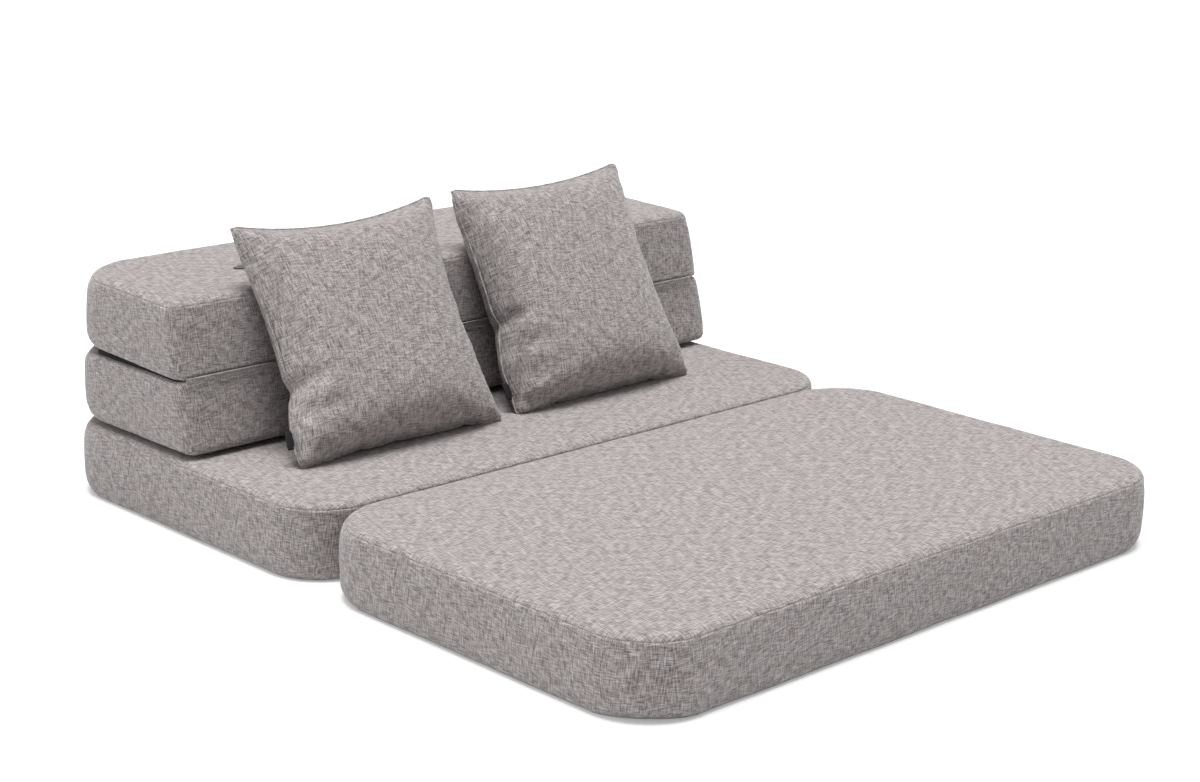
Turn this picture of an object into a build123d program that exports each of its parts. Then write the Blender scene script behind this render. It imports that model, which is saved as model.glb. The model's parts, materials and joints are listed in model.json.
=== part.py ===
"""Folding sofa bed: four covered foam sections joined by fabric hinges, with two loose cushions."""

import os
from math import atan2, cos, degrees, radians, sin, tan

from build123d import *

os.makedirs("parts", exist_ok=True)

# Overall sizes of the sections
sofa_width = 1120
section_height = 117
front_section_depth = 670
seat_section_depth = 659
lower_back_depth = 353
upper_back_depth = 318
face_set_back = 29
corner_radius = 98
front_corner_radius = 22
sleeping_edge_radius = 16
base_edge_radius = 12
upper_back_tilt = 1.88

# Cover and foam
fabric_thickness = 1.2
foam_clearance = 0.2
top_seam_drop = 8
base_seam_rise = 13

# Gaps at the folds
fold_gap = 2.5
face_relief = 0.5
stack_clearance = 0.6
floor_clearance = 0.5
roll_clearance = 0.3
roll_above_floor = 0.4

# Closed zip along the rear face of each cover
zip_length = 620
zip_slot_height = 8
zip_fit = 0.2
zip_coil_height = 4
zip_coil_proud = 0.5
zip_slider_length = 13
zip_slider_height = 7
zip_slider_proud = 1.0
zip_edge_chamfer = 0.3

# Webbing strap on the top of the upper back section
strap_width = 24
strap_thickness = 1.6
strap_length = 300
strap_taper_length = 16
strap_tip_width = 6
strap_tip_x = -337
strap_from_front_edge = 118
strap_seat_clearance = 0.1

# Loose cushions
cushion_size = 388
cushion_front_crown = 58
cushion_back_crown = 30
cushion_fabric = 1.0
cushion_seam_margin = 5
cushion_filling_clearance = 0.2
cushion_above_seat = 0.5
tag_length = 30
tag_proud = 11
tag_thickness = 1.2
tag_from_corner = 38
cushion_zip_length = 240
cushion_zip_width = 5
cushion_zip_thickness = 1.2
trim_gap = 0.3

# How a cushion's outline shrinks from its seam to its crown
crown_level_shares = (0, 0.12, 0.35, 0.60, 0.80, 0.92, 0.975)
mid_side_shares = (0.94, 0.92, 0.86, 0.73, 0.56, 0.37, 0.20)
corner_shares = (1, 0.94, 0.79, 0.59, 0.40, 0.255, 0.135)

# Each cushion: where the middle of its bottom seam stands, across and ahead of the back, and its lean and
# sideways slump in degrees
cushions = {
    "left_cushion": {"middle_x": -249, "ahead_of_back": 135, "lean": 33.6, "slump": 5.4},
    "right_cushion": {"middle_x": 189, "ahead_of_back": 127, "lean": 32.8, "slump": 3.6},
}


# Places worked out from the sizes
def rounding_reach(corner_angle):
    """How far a rounding of radius one stays back from its sharp corner."""
    return 1 / sin(radians(corner_angle / 2)) - 1


def roll_radius(edge_radius, corner_angle):
    """Largest roll on a fold line that stays clear of a rounded edge at every angle."""
    return edge_radius * rounding_reach(corner_angle) - roll_clearance


right_angle = 90
face_lean = degrees(atan2(face_set_back, section_height))
floor_roll_radius = roll_radius(base_edge_radius, right_angle) + fold_gap / 2
rear_roll_radius = roll_radius(sleeping_edge_radius, right_angle) + fold_gap / 2
welt_radius = roll_radius(base_edge_radius, right_angle + face_lean) + face_relief
sharp_edge_radius = (
    base_edge_radius * rounding_reach(right_angle + face_lean) / rounding_reach(right_angle - face_lean)
)
total_depth = front_section_depth + fold_gap + seat_section_depth + fold_gap / 2 + rear_roll_radius

front_y = -total_depth / 2
seat_y = front_y + front_section_depth + fold_gap
rear_y = seat_y + seat_section_depth
floor_fold_y = seat_y - fold_gap / 2
rear_fold_y = rear_y + fold_gap / 2
floor_fold_z = -floor_clearance / 2
rear_fold_z = section_height + stack_clearance / 2
lower_back_z = section_height + stack_clearance
lower_back_y = rear_y - lower_back_depth
top_fold_y = lower_back_y + face_set_back - face_relief
top_fold_z = lower_back_z + section_height + stack_clearance / 2


def tilted(y, z, angle):
    """Frame at a section's front lower edge, raised at the rear by an angle."""
    return Plane(origin=(0, y, z), x_dir=(1, 0, 0), z_dir=(0, -sin(radians(angle)), cos(radians(angle))))


fold_frame = tilted(top_fold_y, top_fold_z, upper_back_tilt)
upper_back_origin = fold_frame.from_local_coords(Vector(0, face_relief, stack_clearance / 2))

# Each section: its frame, lower depth, set back of its front face, front corner radius, radius of its base
# edges, and whether its sleeping face is on top
sections = {
    "front": (
        tilted(front_y, 0, 0), front_section_depth, 0, corner_radius, base_edge_radius, True,
    ),
    "seat": (
        tilted(seat_y, 0, 0), seat_section_depth, 0, corner_radius, base_edge_radius, True,
    ),
    "lower_back": (
        tilted(lower_back_y, lower_back_z, 0), lower_back_depth, face_set_back, front_corner_radius,
        base_edge_radius, False,
    ),
    "upper_back": (
        tilted(upper_back_origin.Y, upper_back_origin.Z, upper_back_tilt), upper_back_depth, face_set_back,
        front_corner_radius, sharp_edge_radius, True,
    ),
}


def block(section, inset):
    """Solid of a section with every face moved in by an inset."""
    frame, depth, set_back, front_radius, base_radius, sleeping_up = section
    lean = atan2(set_back, section_height)
    low_radius, high_radius = base_radius, sleeping_edge_radius
    if not sleeping_up:
        low_radius, high_radius = high_radius, low_radius
    left_end = frame.origin - frame.x_dir * (sofa_width / 2 - inset)
    side = Plane(left_end, x_dir=frame.y_dir, z_dir=frame.x_dir)
    up = Axis(frame.origin, frame.z_dir)
    back = Axis(frame.origin, frame.y_dir)
    low_front = inset * tan(lean) + inset / cos(lean)
    high_front = (section_height - inset) * tan(lean) + inset / cos(lean)
    with BuildPart() as solid:
        with BuildSketch(side):
            with BuildLine():
                Polyline(
                    (low_front, inset),
                    (depth - inset, inset),
                    (depth - inset, section_height - inset),
                    (high_front, section_height - inset),
                    close=True,
                )
            make_face()
        extrude(amount=sofa_width - 2 * inset)
        fillet(solid.edges().group_by(up)[1].sort_by(back)[-2:], radius=corner_radius - inset)
        fillet(solid.edges().group_by(up)[1].sort_by(back)[:2], radius=front_radius - inset)
        fillet(solid.faces().sort_by(up)[0].edges(), radius=low_radius - inset)
        fillet(solid.faces().sort_by(up)[-1].edges(), radius=high_radius - inset)
    return solid.part


def rear_plane(section, outwards):
    """Plane on the middle of a section's rear face, moved outwards."""
    frame, depth = section[0], section[1]
    middle = frame.from_local_coords(Vector(0, depth + outwards, section_height / 2))
    return Plane(middle, x_dir=-frame.x_dir, z_dir=frame.y_dir)


def save(name, part):
    """Label a finished piece and write its file."""
    part.label = name
    export_step(part, f"parts/{name}.step")


# Foam cores, cover panels and zips of the four sections
for section_name, section in sections.items():
    frame, sleeping_up = section[0], section[-1]
    outside = block(section, 0)
    inside = block(section, fabric_thickness)
    low_seam, high_seam = base_seam_rise, section_height - top_seam_drop
    low_name, high_name = "base_panel", "top_panel"
    if not sleeping_up:
        low_seam, high_seam = top_seam_drop, section_height - base_seam_rise
        low_name, high_name = high_name, low_name
    low_plane = frame.offset(low_seam)
    high_plane = frame.offset(high_seam)

    with BuildPart() as foam:
        add(block(section, fabric_thickness + foam_clearance))
    save(f"{section_name}_foam", foam.part)

    with BuildPart() as low_panel:
        add(outside)
        add(inside, mode=Mode.SUBTRACT)
        split(bisect_by=low_plane, keep=Keep.BOTTOM)
    save(f"{section_name}_{low_name}", low_panel.part)

    with BuildPart() as high_panel:
        add(outside)
        add(inside, mode=Mode.SUBTRACT)
        split(bisect_by=high_plane, keep=Keep.TOP)
    save(f"{section_name}_{high_name}", high_panel.part)

    with BuildPart() as side_band:
        add(outside)
        add(inside, mode=Mode.SUBTRACT)
        split(bisect_by=low_plane, keep=Keep.TOP)
        split(bisect_by=high_plane, keep=Keep.BOTTOM)
        with BuildSketch(rear_plane(section, fabric_thickness)):
            Rectangle(zip_length, zip_slot_height)
        extrude(amount=-3 * fabric_thickness, mode=Mode.SUBTRACT)
    save(f"{section_name}_side_band", side_band.part)

    with BuildPart() as cover_zip:
        with BuildSketch(rear_plane(section, 0)):
            Rectangle(zip_length - 2 * zip_fit, zip_slot_height - 2 * zip_fit)
        extrude(amount=-fabric_thickness)
        with BuildSketch(rear_plane(section, 0)):
            Rectangle(zip_length - 2 * zip_slider_length, zip_coil_height)
        extrude(amount=zip_coil_proud)
        with BuildSketch(rear_plane(section, 0)):
            with Locations((zip_length / 2 - 2 * zip_slider_length, 0)):
                SlotOverall(zip_slider_length, zip_slider_height)
        extrude(amount=zip_slider_proud)
        pull_face = cover_zip.faces().sort_by(Axis(frame.origin, frame.y_dir))[-1]
        chamfer(pull_face.edges(), length=zip_edge_chamfer)
    save(f"{section_name}_zip", cover_zip.part)


# Fabric hinges: a floor strip with a flat underside, a rear roll and a welt on the front
def fold_line(y, z, length):
    """Section plane of a hinge, at its left end."""
    return Plane(origin=(-length / 2, y, z), x_dir=(0, 1, 0), z_dir=(1, 0, 0))


straight_width = sofa_width - 2 * corner_radius
with BuildPart() as front_hinge_strip:
    with BuildSketch(fold_line(floor_fold_y, floor_fold_z, straight_width)):
        Circle(floor_roll_radius)
        with Locations((0, roll_above_floor - floor_fold_z)):
            Rectangle(
                2 * floor_roll_radius, floor_roll_radius, align=(Align.CENTER, Align.MIN), mode=Mode.INTERSECT
            )
    extrude(amount=straight_width)
save("front_hinge_strip", front_hinge_strip.part)

with BuildPart() as rear_hinge_strip:
    with BuildSketch(fold_line(rear_fold_y, rear_fold_z, straight_width)):
        Circle(rear_roll_radius)
    extrude(amount=straight_width)
    chamfer(rear_hinge_strip.faces().filter_by(Axis.X).edges(), length=rear_roll_radius / 2)
save("rear_hinge_strip", rear_hinge_strip.part)

welt_length = sofa_width - 2 * front_corner_radius
with BuildPart() as back_hinge_welt:
    with BuildSketch(fold_line(top_fold_y, top_fold_z, welt_length)):
        Circle(welt_radius)
    extrude(amount=welt_length)
    chamfer(back_hinge_welt.faces().filter_by(Axis.X).edges(), length=welt_radius / 2)
save("back_hinge_welt", back_hinge_welt.part)

# Webbing strap lying on the upper back section, with a tapered free end
upper_frame = sections["upper_back"][0]
strap_y = face_set_back + strap_from_front_edge
strap_corner = Vector(strap_tip_x, strap_y, section_height + strap_seat_clearance)
strap_origin = upper_frame.from_local_coords(strap_corner)
strap_plane = Plane(strap_origin, x_dir=upper_frame.x_dir, z_dir=upper_frame.z_dir)
with BuildPart() as back_strap:
    with BuildSketch(strap_plane):
        with BuildLine():
            Polyline(
                (0, -strap_tip_width / 2),
                (strap_taper_length, -strap_width / 2),
                (strap_length, -strap_width / 2),
                (strap_length, strap_width / 2),
                (strap_taper_length, strap_width / 2),
                (0, strap_tip_width / 2),
                close=True,
            )
        make_face()
    extrude(amount=strap_thickness)
save("back_strap", back_strap.part)


# Cushions: each half is a loft through four-arc outlines that shrink from the seam to the crown
def cushion_point(u, v, slump):
    """A point of a cushion's own plane, pushed sideways by its slump."""
    return (u + v * tan(radians(slump)), v)


def cushion_half(frame, slump, crown, inset, margin):
    """One crowned half of a cushion, standing on its seam plane."""
    half_size = cushion_size / 2 - margin
    with BuildPart() as half:
        for level, mid_side, corner in zip(crown_level_shares, mid_side_shares, corner_shares):
            reach = half_size * mid_side
            tip = half_size * corner
            tips = ((-tip, -tip), (tip, -tip), (tip, tip), (-tip, tip))
            sides = ((0, -reach), (reach, 0), (0, reach), (-reach, 0))
            corners = [cushion_point(u, v, slump) for u, v in tips]
            mids = [cushion_point(u, v, slump) for u, v in sides]
            with BuildSketch(frame.offset(level * (crown - inset))):
                with BuildLine():
                    for i in range(len(mids)):
                        ThreePointArc(corners[i], mids[i], corners[(i + 1) % len(corners)])
                make_face()
        loft()
    return half.part


def seam_reach(along):
    """Distance of a drawn-in side seam from the cushion's middle, some way along it."""
    half_size = cushion_size / 2
    return half_size * (1 - (1 - mid_side_shares[0]) * (1 - (along / half_size) ** 2))


for cushion_name, place in cushions.items():
    lean = radians(place["lean"])
    slump = place["slump"]
    half_size = cushion_size / 2
    middle = (
        place["middle_x"] + half_size * tan(radians(slump)),
        lower_back_y - place["ahead_of_back"] + half_size * sin(lean),
        section_height + cushion_above_seat + half_size * cos(lean),
    )
    front_frame = Plane(origin=middle, x_dir=(1, 0, 0), z_dir=(0, -cos(lean), sin(lean)))
    back_frame = Plane(origin=middle, x_dir=(1, 0, 0), z_dir=(0, cos(lean), -sin(lean)))

    for half_name, frame, crown, turned_slump in (
        ("front_cover", front_frame, cushion_front_crown, slump),
        ("back_cover", back_frame, cushion_back_crown, -slump),
    ):
        hollow = cushion_half(frame, turned_slump, crown, cushion_fabric, cushion_seam_margin)
        with BuildPart() as half_cover:
            add(cushion_half(frame, turned_slump, crown, 0, 0))
            add(hollow, mode=Mode.SUBTRACT)
        save(f"{cushion_name}_{half_name}", half_cover.part)

    filling_inset = cushion_fabric + cushion_filling_clearance
    filling_margin = cushion_seam_margin + cushion_filling_clearance
    with BuildPart() as filling:
        add(cushion_half(front_frame, slump, cushion_front_crown, filling_inset, filling_margin))
        add(cushion_half(back_frame, -slump, cushion_back_crown, filling_inset, filling_margin))
    save(f"{cushion_name}_filling", filling.part)

    tag_ends = [tag_from_corner + side * tag_length / 2 - half_size for side in (-1, 1)]
    tag_inner = [cushion_point(-seam_reach(v) - trim_gap, v, slump) for v in tag_ends]
    tag_outer = [cushion_point(-seam_reach(v) - trim_gap - tag_proud, v, slump) for v in tag_ends]
    with BuildPart() as tag:
        with BuildSketch(front_frame.offset(-tag_thickness / 2)):
            with BuildLine():
                Polyline(*tag_inner, *reversed(tag_outer), close=True)
            make_face()
        extrude(amount=tag_thickness)
    save(f"{cushion_name}_tag", tag.part)

    end_u = cushion_zip_length / 2
    zip_edges = (trim_gap, trim_gap + cushion_zip_width)
    edges_v = [(seam_reach(end_u) + out, seam_reach(0) + out) for out in zip_edges]
    with BuildPart() as cushion_zip:
        with BuildSketch(front_frame.offset(-cushion_zip_thickness / 2)):
            with BuildLine():
                inner_ends = [cushion_point(u, -edges_v[0][0], slump) for u in (-end_u, end_u)]
                outer_ends = [cushion_point(u, -edges_v[1][0], slump) for u in (-end_u, end_u)]
                ThreePointArc(inner_ends[0], cushion_point(0, -edges_v[0][1], slump), inner_ends[1])
                ThreePointArc(outer_ends[0], cushion_point(0, -edges_v[1][1], slump), outer_ends[1])
                Line(inner_ends[0], outer_ends[0])
                Line(inner_ends[1], outer_ends[1])
            make_face()
        extrude(amount=cushion_zip_thickness)
    save(f"{cushion_name}_zip", cushion_zip.part)
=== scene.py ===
import json
from math import cos, pi, radians, sin, tan

import bmesh
import bpy
import numpy as np
from mathutils import Matrix, Vector, noise


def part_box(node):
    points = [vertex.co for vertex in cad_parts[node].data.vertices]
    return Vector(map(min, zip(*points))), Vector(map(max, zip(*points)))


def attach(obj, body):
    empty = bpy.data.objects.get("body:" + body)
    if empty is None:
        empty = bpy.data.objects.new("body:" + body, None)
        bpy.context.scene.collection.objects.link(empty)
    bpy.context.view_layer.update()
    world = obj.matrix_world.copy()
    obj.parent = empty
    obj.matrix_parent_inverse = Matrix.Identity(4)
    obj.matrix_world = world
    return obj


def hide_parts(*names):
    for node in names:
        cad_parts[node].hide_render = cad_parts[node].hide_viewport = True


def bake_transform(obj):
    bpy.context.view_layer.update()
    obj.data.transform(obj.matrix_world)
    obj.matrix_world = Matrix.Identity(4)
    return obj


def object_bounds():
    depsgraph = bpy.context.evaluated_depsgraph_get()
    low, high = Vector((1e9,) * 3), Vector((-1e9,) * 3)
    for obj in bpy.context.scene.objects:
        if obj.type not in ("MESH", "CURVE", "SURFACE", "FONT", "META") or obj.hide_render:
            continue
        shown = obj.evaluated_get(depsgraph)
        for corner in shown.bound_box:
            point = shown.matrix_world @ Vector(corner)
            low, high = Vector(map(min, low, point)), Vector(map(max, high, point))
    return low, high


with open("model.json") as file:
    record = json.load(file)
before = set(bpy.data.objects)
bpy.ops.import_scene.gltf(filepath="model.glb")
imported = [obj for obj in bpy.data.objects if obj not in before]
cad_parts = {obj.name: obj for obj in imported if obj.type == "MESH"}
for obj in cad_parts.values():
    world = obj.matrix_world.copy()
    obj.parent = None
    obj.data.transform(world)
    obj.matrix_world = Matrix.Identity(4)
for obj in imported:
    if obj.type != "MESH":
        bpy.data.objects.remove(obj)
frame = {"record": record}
cad_low, cad_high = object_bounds()

# The camera stands ahead of the sofa, well to its left and 1.2 m up. Its place, turn and lens were fitted to
# the picture's outline, with the sofa's width as unit.
sofa_width = 1.12
camera_place = (-2.4880, cad_low[1] - 1.9201, 1.2084)
camera_yaw = radians(43.759)
camera_pitch = radians(15.476)
camera_roll = radians(0.973)
picture_size = (1200, 782)
focal_pixels = 2406.2
view_centre = (597.8, 379.7)

ahead = Vector((sin(camera_yaw) * cos(camera_pitch), cos(camera_yaw) * cos(camera_pitch), -sin(camera_pitch)))
level_right = Vector((cos(camera_yaw), -sin(camera_yaw), 0))
level_up = level_right.cross(ahead)
right = cos(camera_roll) * level_right + sin(camera_roll) * level_up
up = -sin(camera_roll) * level_right + cos(camera_roll) * level_up
camera_data = bpy.data.cameras.new("camera")
camera = bpy.data.objects.new("camera", camera_data)
bpy.context.collection.objects.link(camera)
camera.matrix_world = Matrix.Translation(camera_place) @ Matrix((right, up, -ahead)).transposed().to_4x4()
camera_data.sensor_width = 36
camera_data.lens = camera_data.sensor_width * focal_pixels / picture_size[0]
camera_data.shift_x = (picture_size[0] / 2 - view_centre[0]) / picture_size[0]
camera_data.shift_y = (view_centre[1] - picture_size[1] / 2) / picture_size[0]
camera_data.clip_end = 50
bpy.context.scene.camera = camera

# Front section: a block of cold foam in a sewn cover of melange cloth, flat on the floor. The top panel rolls
# over the edge to a plain seam, and a side band and a base panel close the cover. The flat of the base is
# black cloth, painted shade that darkens the slit between the folded base faces of the back sections.
section_height = 0.117
fabric_thickness = 0.0011
top_seam_drop = 0.008
base_seam_rise = 0.013
corner_radius = 0.098
sleeping_edge_radius = 0.016
base_edge_radius = 0.012
meeting_edge_radius = 0.013
meeting_gap = 0.0018
corner_softness = 0.008
seam_lip = 0.0003
lip_reach = 0.006
seam_recess = 0.0016
recess_reach = 0.010
seam_depth = 0.0008
seam_width = 0.0016
base_seam_depth = 0.0003
band_bulge = 0.0022
bulge_fullness = 0.7
top_crown = 0.0035
ripple_height = 0.0009
ripple_length = 0.11
pucker_height = 0.0005
pucker_length = 0.022
pucker_reach = 0.02
pressed_calm = 0.4
mesh_step = 0.009
row_step = 0.008
rows_by_seam = (0.0008, 0.0018, 0.0032, 0.0055)
cloth_colours = ("#c8c2c2", "#9c9594", "#635d5d", "#86756e")
thread_pitch = 0.00075
slub_length = 0.018
speckle_size = 0.0007
speckle_share = 0.2
patch_size = 0.03
patch_share = 0.06
weave_map = "weave"


def linear(colour):
    """An sRGB hex colour as the linear RGBA that a shader takes."""
    parts = [int(colour[i:i + 2], 16) / 255 for i in (1, 3, 5)]
    return [c / 12.92 if c <= 0.04045 else ((c + 0.055) / 1.055) ** 2.4 for c in parts] + [1]


def node(tree, kind, settings={}, inputs={}):
    """Add a shader or geometry node with its settings and its inputs, each a value or a socket to link."""
    made = tree.nodes.new(kind)
    for key, value in settings.items():
        setattr(made, key, value)
    for key, value in inputs.items():
        if isinstance(value, bpy.types.NodeSocket):
            tree.links.new(value, made.inputs[key])
        else:
            made.inputs[key].default_value = value
    return made


def woven_cloth(name, light, mid, dark, brown):
    """Polyester linen-look cloth: thick and thin threads of two greys cross each other, with brown slubs.

    It looks matt and speckled. The real threads are about 0.6 mm apart, a little too fine for the picture, so
    they are drawn 0.75 mm apart."""
    material = bpy.data.materials.new(name)
    material.use_nodes = True
    tree = material.node_tree
    tree.nodes.clear()
    place = node(tree, "ShaderNodeUVMap", {"uv_map": weave_map}).outputs["UV"]
    plan = node(tree, "ShaderNodeSeparateXYZ", {}, {"Vector": place}).outputs

    def threads(across, along, length, seed):
        """How thick each thread is, by its number across and by the place along it."""
        number = node(tree, "ShaderNodeMath", {"operation": "SNAP"}, {0: across, 1: thread_pitch}).outputs[0]
        own = node(tree, "ShaderNodeMath", {"operation": "MULTIPLY_ADD"},
                   {0: number, 1: 1 / thread_pitch, 2: seed}).outputs[0]
        start = node(tree, "ShaderNodeTexWhiteNoise", {"noise_dimensions": "1D"}, {"W": own}).outputs[0]
        apart = node(tree, "ShaderNodeMath", {"operation": "MULTIPLY"}, {0: start, 1: 500}).outputs[0]
        run = node(tree, "ShaderNodeMath", {"operation": "MULTIPLY_ADD"}, {0: along, 1: 1 / length, 2: apart})
        return node(tree, "ShaderNodeTexNoise", {"noise_dimensions": "1D"},
                    {"W": run.outputs[0], "Scale": 1, "Detail": 1}).outputs[0]

    warp, weft = threads(plan[0], plan[1], slub_length, 0.5), threads(plan[1], plan[0], slub_length, 5000.5)
    crossing = node(tree, "ShaderNodeMath", {"operation": "ADD"}, {0: warp, 1: weft}).outputs[0]
    mixed = crossing
    for size, detail, share in ((speckle_size, 1, speckle_share), (patch_size, 2, patch_share)):
        cloud = node(tree, "ShaderNodeTexNoise", {"noise_dimensions": "2D"},
                     {"Vector": place, "Scale": 1 / size, "Detail": detail}).outputs[0]
        mixed = node(tree, "ShaderNodeMath", {"operation": "MULTIPLY_ADD"},
                     {0: cloud, 1: share, 2: mixed}).outputs[0]
    surplus = 0.5 + (speckle_share + patch_share) / 2
    centred = node(tree, "ShaderNodeMath", {"operation": "SUBTRACT"}, {0: mixed, 1: surplus}).outputs[0]
    ramp = node(tree, "ShaderNodeValToRGB", {}, {"Fac": centred})
    low, high = ramp.color_ramp.elements
    low.position, low.color = 0.18, linear(dark)
    high.position, high.color = 0.82, linear(light)
    ramp.color_ramp.elements.new(0.49).color = linear(mid)
    slubs = node(tree, "ShaderNodeMath", {"operation": "MAXIMUM"},
                 {0: threads(plan[0], plan[1], 1.6 * slub_length, 9000.5),
                  1: threads(plan[1], plan[0], 1.6 * slub_length, 13000.5)})
    share = node(tree, "ShaderNodeMapRange", {},
                 {"Value": slubs.outputs[0], "From Min": 0.62, "From Max": 0.8, "To Max": 0.5})
    tint = node(tree, "ShaderNodeMix", {"data_type": "RGBA", "blend_type": "MIX"},
                {0: share.outputs[0], 6: ramp.outputs[0], 7: linear(brown)})
    bump = node(tree, "ShaderNodeBump", {}, {"Strength": 0.2, "Distance": 0.0006, "Height": crossing})
    shader = node(tree, "ShaderNodeBsdfPrincipled", {}, {
        "Roughness": 0.93, "Sheen Weight": 0.2, "Sheen Roughness": 0.6, "Specular IOR Level": 0.2,
        "Base Color": tint.outputs[2], "Normal": bump.outputs[0]})
    node(tree, "ShaderNodeOutputMaterial", {}, {"Surface": shader.outputs[0]})
    return material


cover_cloth = woven_cloth("melange_woven_polyester", *cloth_colours)
# Black cloth on the flat of each base: painted shade, seen only as the dark slit between the folded back
# bases
black_base_as_slit_shade = woven_cloth("black_base_painted_slit_shade", "#232224", "#1a191b", "#121113", "#1a191b")


def make_piece(name, points, faces, maps, material, smooth=True):
    """A mesh piece in the shared frame, with one map value in metres for each face corner."""
    mesh = bpy.data.meshes.new(name)
    mesh.from_pydata([tuple(p) for p in points], [], [tuple(f) for f in faces])
    layer = mesh.uv_layers.new(name=weave_map)
    layer.data.foreach_set("uv", np.asarray(maps, dtype=np.float32).ravel())
    mesh.materials.append(material)
    mesh.polygons.foreach_set("use_smooth", [smooth] * len(mesh.polygons))
    mesh.update()
    piece = bpy.data.objects.new(name, mesh)
    bpy.context.collection.objects.link(piece)
    return piece


def finish_modifiers(piece):
    """Turn a piece's modifiers into plain mesh."""
    graph = bpy.context.evaluated_depsgraph_get()
    mesh = bpy.data.meshes.new_from_object(piece.evaluated_get(graph))
    piece.modifiers.clear()
    piece.data = mesh
    return piece


def thicken(piece, thickness):
    """Give cloth its thickness, inwards."""
    wall = piece.modifiers.new("thickness", "SOLIDIFY")
    wall.thickness = thickness
    wall.offset = -1
    return finish_modifiers(piece)


class Section:
    """Where a foam section lies, and its outline in plan as points with outward directions.

    meets and pressed say, for the front and the rear edge, whether it lies against a neighbour on the floor
    and whether its face is held flat. bare_share is the share of the depth, from the front, that nothing
    lies on."""

    def __init__(self, name, body, origin, tilt, depth, set_back, front_radius, low_radius, high_radius,
                 sleeping_up, base_softness, front_base_softness=0, meets=(0, 0), pressed=(1, 1),
                 bare_share=1, low_lift=0, high_drop=0, taper=0, crown=top_crown, front_seam_shown=False):
        self.name, self.body, self.origin, self.tilt = name, body, origin, tilt
        self.depth, self.set_back, self.sleeping_up = depth, set_back, sleeping_up
        self.bare_share, self.taper, self.crown = bare_share, taper, crown
        self.cells = (round(sofa_width / mesh_step), round(depth / mesh_step))
        half = sofa_width / 2
        radii = (front_radius, front_radius, corner_radius, corner_radius)
        centres = np.array([(half_way * (half - r), y + towards * r) for half_way, y, towards, r in zip(
            (-1, 1, 1, -1), (0, 0, depth, depth), (1, 1, -1, -1), radii)])
        points, outwards = [], []
        for side in range(4):
            a, b = side, (side + 1) % 4
            arc_a, arc_b = radii[a] * pi / 4, radii[b] * pi / 4
            straight = np.linalg.norm(centres[b] - centres[a])
            count = self.cells[side % 2]
            s = (arc_a + straight + arc_b) * np.arange(count) / count
            angle = side * pi / 2 - 0.75 * pi + np.clip(s / radii[a], 0, pi / 4)
            angle += np.clip((s - arc_a - straight) / radii[b], 0, None)
            t = np.clip((s - arc_a) / straight, 0, 1)[:, None]
            outwards.append(np.stack([np.cos(angle), np.sin(angle)], axis=-1))
            points.append(centres[a] + t * (centres[b] - centres[a])
                          + (radii[a] + t * (radii[b] - radii[a])) * outwards[-1])
        self.points, self.outwards = np.concatenate(points), np.concatenate(outwards)
        steps = np.linalg.norm(np.roll(self.points, -1, 0) - self.points, axis=1)
        self.round_length = np.concatenate([[0], np.cumsum(steps)])
        out_x, out_y = self.outwards.T
        front_corner, rear_corner = (np.abs(2 * out_x * out_y) * at for at in (out_y < 0, out_y > 0))
        self.low_radii = low_radius + (base_softness if sleeping_up else corner_softness) * rear_corner
        self.low_radii += front_base_softness * front_corner
        self.high_radii = high_radius + (corner_softness if sleeping_up else base_softness) * rear_corner
        front_share, rear_share = np.clip(-out_y, 0, 1) ** 4, np.clip(out_y, 0, 1) ** 4
        self.open = 1 - pressed[0] * front_share - pressed[1] * rear_share
        self.seam_open = self.open + front_seam_shown * front_share
        self.seam_shown = self.seam_open > 0.4
        self.meeting = meets[0] * front_share + meets[1] * rear_share
        self.high_radii += (meeting_edge_radius - high_radius) * self.meeting
        self.low_lift = low_lift * (1 - (front_share if sleeping_up else rear_share))
        self.high_drop = high_drop * (1 + self.points[:, 1] / depth if sleeping_up else 1 - front_share)

    def ring(self, along):
        """The ring of cover points at given lengths along its profile, from the low face's edge upwards."""
        low, high = self.low_radii, self.high_radii
        side = section_height - low - high
        low_arc = low * pi / 2
        turn = np.clip(along / low, 0, pi / 2)
        top_turn = np.clip((along - low_arc - side) / high, 0, pi / 2)
        z = low * (1 - np.cos(turn)) + np.clip(along - low_arc, 0, side) + high * np.sin(top_turn)
        inset = low * (1 - np.sin(turn)) + high * (1 - np.cos(top_turn))
        share = z / section_height
        return z + self.low_lift * (1 - share) ** 2 - self.high_drop * share ** 2, inset

    def lengths(self, low_seam, high_seam):
        """Profile lengths of the two seams and of the high face's edge."""
        low, high = self.low_radii, self.high_radii
        low_length = np.where(low_seam < low, low * np.arccos(np.clip(1 - low_seam / low, -1, 1)),
                              low * pi / 2 + low_seam - low)
        full = low * pi / 2 + section_height - low - high + high * pi / 2
        turn = np.arcsin(np.clip(1 - high_seam / high, 0, 1))
        high_length = np.where(high_seam < high, full - high * (pi / 2 - turn),
                               full - high * pi / 2 - (high_seam - high))
        return low_length, high_length, full

    def world(self, x, y, z):
        """Local places of the section as places in the shared frame."""
        c, s = cos(self.tilt), sin(self.tilt)
        at_x, at_y, at_z = self.origin
        return np.stack([x + at_x, at_y + y * c - z * s, at_z + y * s + z * c], axis=-1)

    def lay(self, xy, z):
        """Move the front edge back where the section's face leans, and draw the sides in where it narrows."""
        x, y = xy[..., 0], xy[..., 1]
        still = self.depth - corner_radius
        share = np.clip((still - y) / still, 0, 1)
        return x * (1 - self.taper * z / section_height), y + self.set_back * z / section_height * share


def ripple(points, height, length, seed):
    """Soft uneven height of stretched cloth at each point."""
    shift = Vector((seed * 7.3, seed * 3.1, seed))
    return np.array([height * noise.noise(Vector(p) / length + shift) for p in points])


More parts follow.
